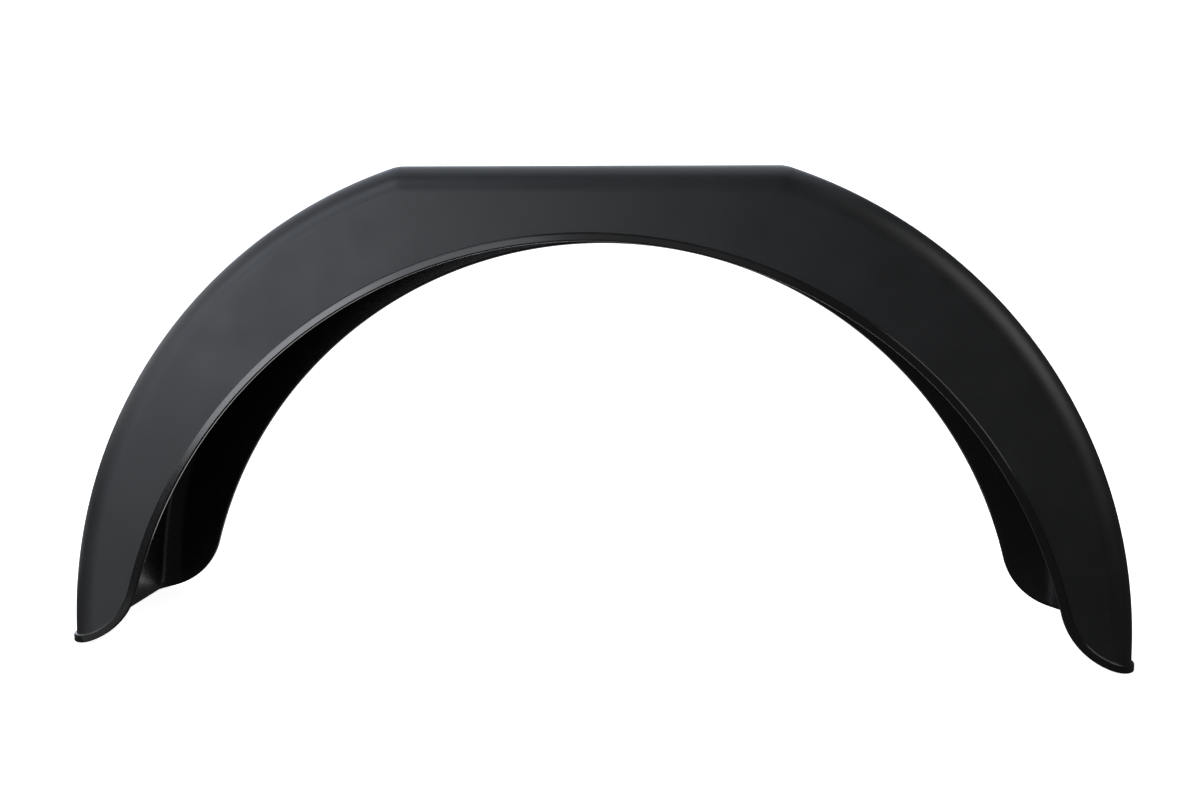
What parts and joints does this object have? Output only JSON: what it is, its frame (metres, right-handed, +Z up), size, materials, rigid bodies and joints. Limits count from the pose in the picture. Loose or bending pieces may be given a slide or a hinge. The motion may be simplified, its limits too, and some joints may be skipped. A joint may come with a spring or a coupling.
{
  "type": "trailer mudguard",
  "caption": "Black moulded plastic trailer mudguard: a U-section arch with a flat top, rounded folds along both skirts and a raised rim around the open edge.",
  "frame": {"origin": "under the middle of the mudguard, on the level that its two ends stand on", "axes": "+X along the trailer, +Y across it towards the side that is bolted to the trailer, +Z up"},
  "size_m": [0.77, 0.22, 0.352],
  "materials": {
    "black_plastic": "fine moulded grain, with a smoother rim"
  },
  "bodies": {
    "root": {"mudguard": "black_plastic"}
  },
  "joints": []
}
